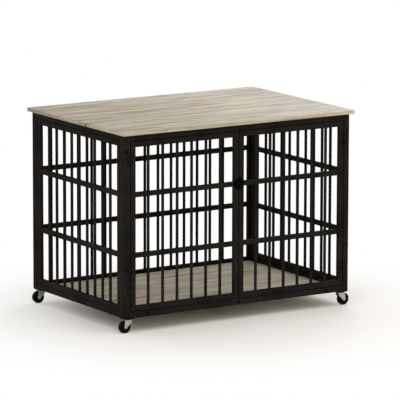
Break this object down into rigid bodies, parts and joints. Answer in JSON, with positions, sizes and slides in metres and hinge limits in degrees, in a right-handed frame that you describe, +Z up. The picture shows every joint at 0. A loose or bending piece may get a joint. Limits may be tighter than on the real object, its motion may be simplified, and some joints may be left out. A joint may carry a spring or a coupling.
{
  "type": "dog crate end table",
  "caption": "Steel-bar dog crate with double doors, a slide latch and swivel casters, under a two-board wood table top.",
  "frame": {"origin": "on the ground under the middle of the table top", "axes": "+X along the long side, to the right as seen from the doors; +Y away from the doors, to the back; +Z up"},
  "size_m": [1.1, 0.76, 0.81],
  "materials": {
    "powder_coated_steel": "fine matt powder coat",
    "grey_oak_board": "grey-washed oak laminate, satin",
    "blackened_bolt_steel": "black oxide, satin",
    "zinc_plated_steel": "bright zinc plate",
    "black_caster_tread": "satin black"
  },
  "bodies": {
    "crate": {"front_frame": "powder_coated_steel", "back_panel": "powder_coated_steel", "left_side_panel": "powder_coated_steel", "right_side_panel": "powder_coated_steel", "table_top_front_board": "grey_oak_board", "table_top_rear_board": "grey_oak_board", "floor_board": "grey_oak_board", "floor_strap_left": "powder_coated_steel", "floor_strap_middle": "powder_coated_steel", "floor_strap_right": "powder_coated_steel", "floor_bracket_left": "powder_coated_steel", "floor_bracket_right": "powder_coated_steel", "foot_bolt_front_left": "blackened_bolt_steel", "foot_bolt_back_left": "blackened_bolt_steel", "foot_bolt_front_middle": "blackened_bolt_steel", "foot_bolt_back_middle": "blackened_bolt_steel", "foot_bolt_front_right": "blackened_bolt_steel", "foot_bolt_back_right": "blackened_bolt_steel", "post_bolt_front_left_upper": "blackened_bolt_steel", "post_bolt_back_left_upper": "blackened_bolt_steel", "post_bolt_front_left_lower": "blackened_bolt_steel", "post_bolt_back_left_lower": "blackened_bolt_steel", "post_bolt_front_right_upper": "blackened_bolt_steel", "post_bolt_back_right_upper": "blackened_bolt_steel", "post_bolt_front_right_lower": "blackened_bolt_steel", "post_bolt_back_right_lower": "blackened_bolt_steel", "left_upper_hinge_post_leaf": "powder_coated_steel", "left_upper_hinge_pin": "powder_coated_steel", "left_lower_hinge_post_leaf": "powder_coated_steel", "left_lower_hinge_pin": "powder_coated_steel", "right_upper_hinge_post_leaf": "powder_coated_steel", "right_upper_hinge_pin": "powder_coated_steel", "right_lower_hinge_post_leaf": "powder_coated_steel", "right_lower_hinge_pin": "powder_coated_steel", "caster_plate_front_left": "zinc_plated_steel", "caster_plate_front_right": "zinc_plated_steel", "caster_plate_back_left": "zinc_plated_steel", "caster_plate_back_right": "zinc_plated_steel"},
    "door_left": {"left_door": "powder_coated_steel", "left_upper_hinge_door_leaf": "powder_coated_steel", "left_lower_hinge_door_leaf": "powder_coated_steel", "latch_body": "blackened_bolt_steel"},
    "door_right": {"right_door": "powder_coated_steel", "right_upper_hinge_door_leaf": "powder_coated_steel", "right_lower_hinge_door_leaf": "powder_coated_steel", "latch_keeper": "blackened_bolt_steel"},
    "latch_slider": {"latch_bolt": "blackened_bolt_steel"},
    "fork_front_left": {"caster_fork_front_left": "zinc_plated_steel", "caster_axle_front_left": "zinc_plated_steel"},
    "wheel_front_left": {"caster_wheel_front_left": "black_caster_tread"},
    "fork_front_right": {"caster_fork_front_right": "zinc_plated_steel", "caster_axle_front_right": "zinc_plated_steel"},
    "wheel_front_right": {"caster_wheel_front_right": "black_caster_tread"},
    "fork_back_left": {"caster_fork_back_left": "zinc_plated_steel", "caster_axle_back_left": "zinc_plated_steel"},
    "wheel_back_left": {"caster_wheel_back_left": "black_caster_tread"},
    "fork_back_right": {"caster_fork_back_right": "zinc_plated_steel", "caster_axle_back_right": "zinc_plated_steel"},
    "wheel_back_right": {"caster_wheel_back_right": "black_caster_tread"}
  },
  "joints": [
    {"name": "left_door_hinge", "type": "hinge", "parent": "crate", "child": "door_left", "pos_m": [-0.508, -0.3673, 0.43], "axis": [0, 0, -1], "range_deg": [0, 180]},
    {"name": "right_door_hinge", "type": "hinge", "parent": "crate", "child": "door_right", "pos_m": [0.508, -0.3673, 0.43], "axis": [0, 0, 1], "range_deg": [0, 180]},
    {"name": "latch_slide", "type": "slide", "parent": "door_left", "child": "latch_slider", "axis": [1, 0, 0], "range_m": [0, 0.009]},
    {"name": "front_left_swivel", "type": "hinge", "parent": "crate", "child": "fork_front_left", "pos_m": [-0.512, -0.342, 0.05], "axis": [0, 0, 1], "continuous": true},
    {"name": "front_left_wheel_spin", "type": "hinge", "parent": "fork_front_left", "child": "wheel_front_left", "pos_m": [-0.524, -0.342, 0.025], "axis": [0, 1, 0], "continuous": true},
    {"name": "front_right_swivel", "type": "hinge", "parent": "crate", "child": "fork_front_right", "pos_m": [0.512, -0.342, 0.05], "axis": [0, 0, 1], "continuous": true},
    {"name": "front_right_wheel_spin", "type": "hinge", "parent": "fork_front_right", "child": "wheel_front_right", "pos_m": [0.524, -0.342, 0.025], "axis": [0, 1, 0], "continuous": true},
    {"name": "back_left_swivel", "type": "hinge", "parent": "crate", "child": "fork_back_left", "pos_m": [-0.512, 0.342, 0.05], "axis": [0, 0, 1], "continuous": true},
    {"name": "back_left_wheel_spin", "type": "hinge", "parent": "fork_back_left", "child": "wheel_back_left", "pos_m": [-0.524, 0.342, 0.025], "axis": [0, 1, 0], "continuous": true},
    {"name": "back_right_swivel", "type": "hinge", "parent": "crate", "child": "fork_back_right", "pos_m": [0.512, 0.342, 0.05], "axis": [0, 0, 1], "continuous": true},
    {"name": "back_right_wheel_spin", "type": "hinge", "parent": "fork_back_right", "child": "wheel_back_right", "pos_m": [0.524, 0.342, 0.025], "axis": [0, 1, 0], "continuous": true}
  ]
}
